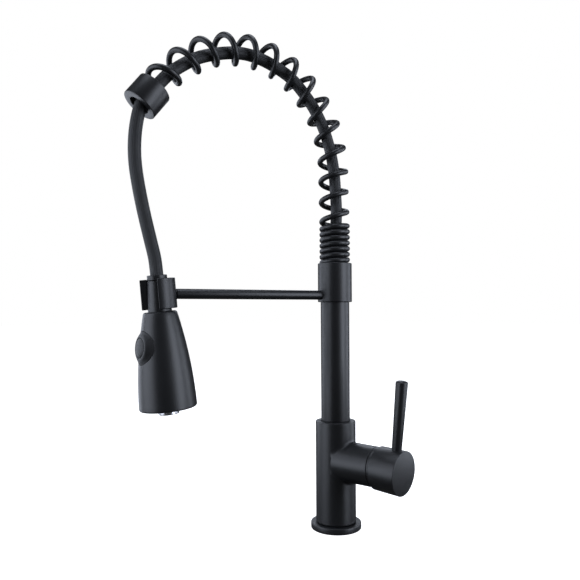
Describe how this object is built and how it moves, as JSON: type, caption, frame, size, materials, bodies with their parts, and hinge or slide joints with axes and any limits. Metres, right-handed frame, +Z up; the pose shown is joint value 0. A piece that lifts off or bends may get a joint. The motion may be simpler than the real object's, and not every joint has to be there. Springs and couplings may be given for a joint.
{
  "type": "pull down kitchen faucet",
  "caption": "Single-lever kitchen faucet: round body, tall column, open spring arch over a hose, and a pull-down spray head held in a docking ring.",
  "frame": {"origin": "centre of the body's underside, on the deck, on the column's axis", "axes": "+Z up along the column, the spout reaches along -Y, and the handle points to +X and a little to +Y"},
  "size_m": [0.1047, 0.26, 0.4778],
  "materials": {
    "matte_black": "matte black powder coat",
    "black_plastic": "satin black",
    "black_rubber": "matte",
    "hose_sleeve": "matte, fine lengthwise ribs",
    "brass": "machined",
    "steel": "satin",
    "nylon": "natural moulded",
    "ceramic": null
  },
  "bodies": {
    "base": {"base_flange": "matte_black", "deck_gasket": "black_rubber", "mixer_body": "matte_black", "retaining_screw": "steel", "cartridge_seal": "black_rubber", "cartridge_housing": "nylon", "ceramic_disc_fixed": "ceramic", "cartridge_nut": "brass", "cartridge_dome": "matte_black"},
    "carrier": {"cartridge_carrier": "nylon", "pivot_pin": "steel"},
    "handle": {"cartridge_stem": "steel", "handle_hub": "matte_black", "lever": "matte_black", "lever_stud": "steel", "grub_screw": "steel", "hub_plug": "black_plastic"},
    "valve_disc": {"ceramic_disc_moving": "ceramic"},
    "spout": {"column_tube": "matte_black", "column_o_ring_lower": "black_rubber", "column_o_ring_upper": "black_rubber", "swivel_bush_lower": "nylon", "swivel_bush_upper": "nylon", "hose_connector": "brass", "column_collar": "matte_black", "hose_guide": "black_plastic", "docking_arm": "matte_black", "docking_ring": "matte_black", "spring": "matte_black", "hose_upper": "hose_sleeve", "spring_cap": "matte_black", "cap_guide": "black_plastic", "hose_drop": "hose_sleeve"},
    "hose_end": {"hose_ferrule": "matte_black", "hose_tail": "brass", "swivel_seal": "black_rubber"},
    "spray_head": {"neck_sleeve": "matte_black", "spray_shell": "black_plastic", "waterway_core": "brass", "check_valve": "nylon", "button_bezel": "black_rubber", "diverter_body": "nylon", "button_spring": "steel", "spray_manifold": "black_plastic", "spray_face": "black_rubber", "aerator_housing": "steel", "aerator_insert": "black_plastic"},
    "button": {"mode_button": "black_rubber"}
  },
  "joints": [
    {"name": "handle_temperature", "type": "hinge", "parent": "base", "child": "carrier", "pos_m": [0, 0, 0.0668], "axis": [0.9184, 0.3955, 0], "range_deg": [-45, 45]},
    {"name": "handle_flow", "type": "hinge", "parent": "carrier", "child": "handle", "pos_m": [0.04225, 0.01819, 0.0668], "axis": [-0.3955, 0.9184, 0], "range_deg": [0, 22]},
    {"name": "disc_slide", "type": "slide", "parent": "carrier", "child": "valve_disc", "axis": [0, 0, 1], "range_m": [0, 0.0057]},
    {"name": "spout_swivel", "type": "hinge", "parent": "base", "child": "spout", "pos_m": [0, 0, 0], "axis": [0, 0, 1], "range_deg": [-180, 180]},
    {"name": "pull_down", "type": "slide", "parent": "spout", "child": "hose_end", "axis": [0, 0.0924, -0.9957], "range_m": [0, 0.15], "stiffness_N_per_m": 40, "springref_m": -0.12, "deforming": ["hose_drop"]},
    {"name": "head_swivel", "type": "hinge", "parent": "hose_end", "child": "spray_head", "pos_m": [0, -0.1786, 0.2155], "axis": [0, -0.0924, 0.9957], "continuous": true},
    {"name": "button_press", "type": "slide", "parent": "spray_head", "child": "button", "axis": [-0.1717, 0.9835, -0.0572], "range_m": [0, 0.002], "stiffness_N_per_m": 400, "springref_m": -0.002, "deforming": ["button_spring"]}
  ],
  "couplings": [
    {"joint": "disc_slide", "follows": "handle_flow", "m_per_rad": 0.0145}
  ]
}
